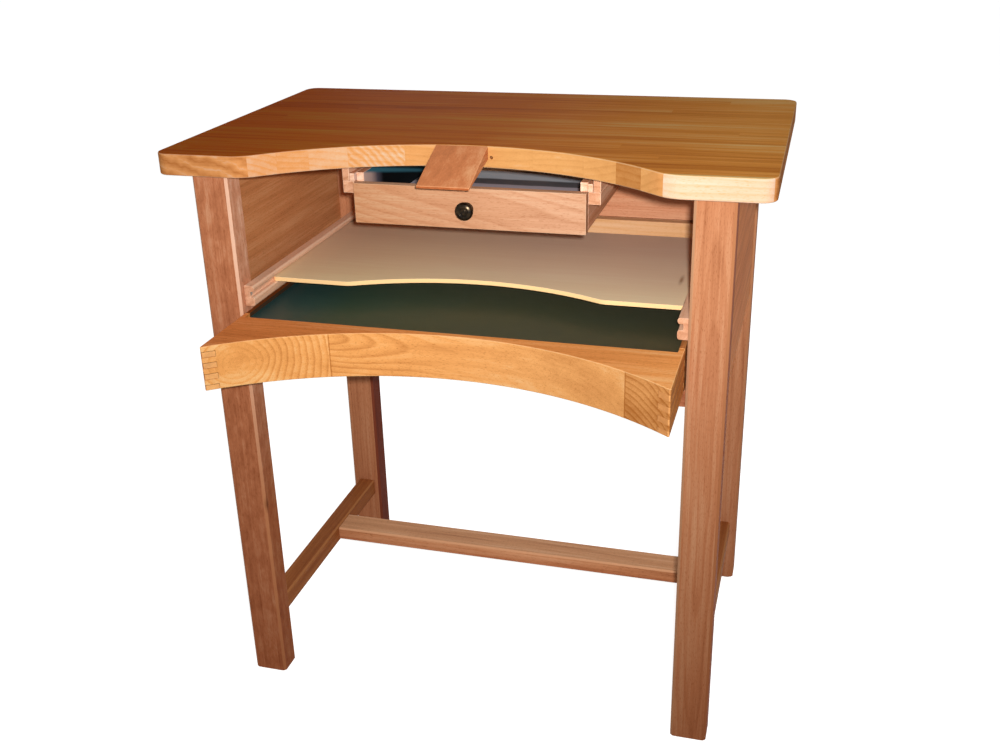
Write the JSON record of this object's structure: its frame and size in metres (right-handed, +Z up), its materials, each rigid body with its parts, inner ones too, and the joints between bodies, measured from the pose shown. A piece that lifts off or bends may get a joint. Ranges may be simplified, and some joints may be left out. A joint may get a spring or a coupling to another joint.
{
  "type": "jewelers bench",
  "caption": "Wooden jewelers bench: hollowed worktop on square legs with a hung drawer, a sliding shelf, a pull-out catch tray and a removable wedge bench pin.",
  "frame": {"origin": "on the floor under the middle of the bench's box as it stands, with the catch tray part way out", "axes": "+Z up, +X to the sitter's right, +Y to the back; the sitter is on the -Y side"},
  "size_m": [0.908, 0.695, 0.943],
  "materials": {
    "top_wood": "oiled glued staves",
    "leg_wood": "oiled beech",
    "panel_wood": "oiled beech board",
    "rail_wood": "oiled beech",
    "runner_wood": "planed beech",
    "shelf_wood": "bare plywood",
    "tray_wood": "oiled glued staves",
    "tray_metal": "dark green-grey satin sheet",
    "drawer_wood": "planed beech",
    "drawer_metal": "plain sheet",
    "knob_metal": "dark bronze, worn bright on the edges",
    "pin_wood": "bare beech",
    "dowel_wood": "bare beech",
    "screw_steel": "zinc plated"
  },
  "bodies": {
    "frame": {"worktop": "top_wood", "leg_front_left": "leg_wood", "leg_front_right": "leg_wood", "leg_rear_left": "leg_wood", "leg_rear_right": "leg_wood", "leg_dowel_front_left": "dowel_wood", "leg_dowel_front_right": "dowel_wood", "leg_dowel_rear_left": "dowel_wood", "leg_dowel_rear_right": "dowel_wood", "side_panel_left": "panel_wood", "side_panel_right": "panel_wood", "back_panel": "panel_wood", "rear_rail": "rail_wood", "side_stretcher_left": "leg_wood", "side_stretcher_right": "leg_wood", "cross_stretcher": "leg_wood", "shelf_runner_left": "runner_wood", "shelf_runner_right": "runner_wood", "tray_runner_left": "runner_wood", "tray_runner_right": "runner_wood", "tray_stop_left": "runner_wood", "tray_stop_right": "runner_wood", "drawer_spacer_left": "runner_wood", "drawer_spacer_right": "runner_wood", "drawer_ledge_left": "runner_wood", "drawer_ledge_right": "runner_wood", "drawer_stop": "runner_wood", "shelf_runner_screw_left_front": "screw_steel", "shelf_runner_screw_left_rear": "screw_steel", "shelf_runner_screw_right_front": "screw_steel", "shelf_runner_screw_right_rear": "screw_steel", "tray_runner_screw_left_front": "screw_steel", "tray_runner_screw_left_rear": "screw_steel", "tray_runner_screw_right_front": "screw_steel", "tray_runner_screw_right_rear": "screw_steel", "drawer_ledge_screw_left_front": "screw_steel", "drawer_ledge_screw_left_rear": "screw_steel", "drawer_ledge_screw_right_front": "screw_steel", "drawer_ledge_screw_right_rear": "screw_steel"},
    "shelf": {"shelf": "shelf_wood"},
    "tray": {"tray_front": "tray_wood", "tray_side_left": "tray_wood", "tray_side_right": "tray_wood", "tray_back": "tray_wood", "tray_sheet": "tray_metal"},
    "drawer": {"drawer_front": "drawer_wood", "drawer_side_left": "drawer_wood", "drawer_side_right": "drawer_wood", "drawer_back": "drawer_wood", "drawer_bottom": "drawer_metal", "drawer_cleat_left": "drawer_wood", "drawer_cleat_right": "drawer_wood", "drawer_knob": "knob_metal", "knob_screw": "screw_steel"},
    "pin": {"bench_pin": "pin_wood"}
  },
  "joints": [
    {"name": "shelf_slide", "type": "slide", "parent": "frame", "child": "shelf", "axis": [0, -1, 0], "range_m": [-0.07, 0.18]},
    {"name": "tray_slide", "type": "slide", "parent": "frame", "child": "tray", "axis": [0, -1, 0], "range_m": [-0.126, 0.2]},
    {"name": "drawer_slide", "type": "slide", "parent": "frame", "child": "drawer", "axis": [0, -1, 0], "range_m": [-0.03, 0.2]},
    {"name": "pin_slide", "type": "slide", "parent": "frame", "child": "pin", "axis": [0, -1, 0], "range_m": [0, 0.04]}
  ]
}
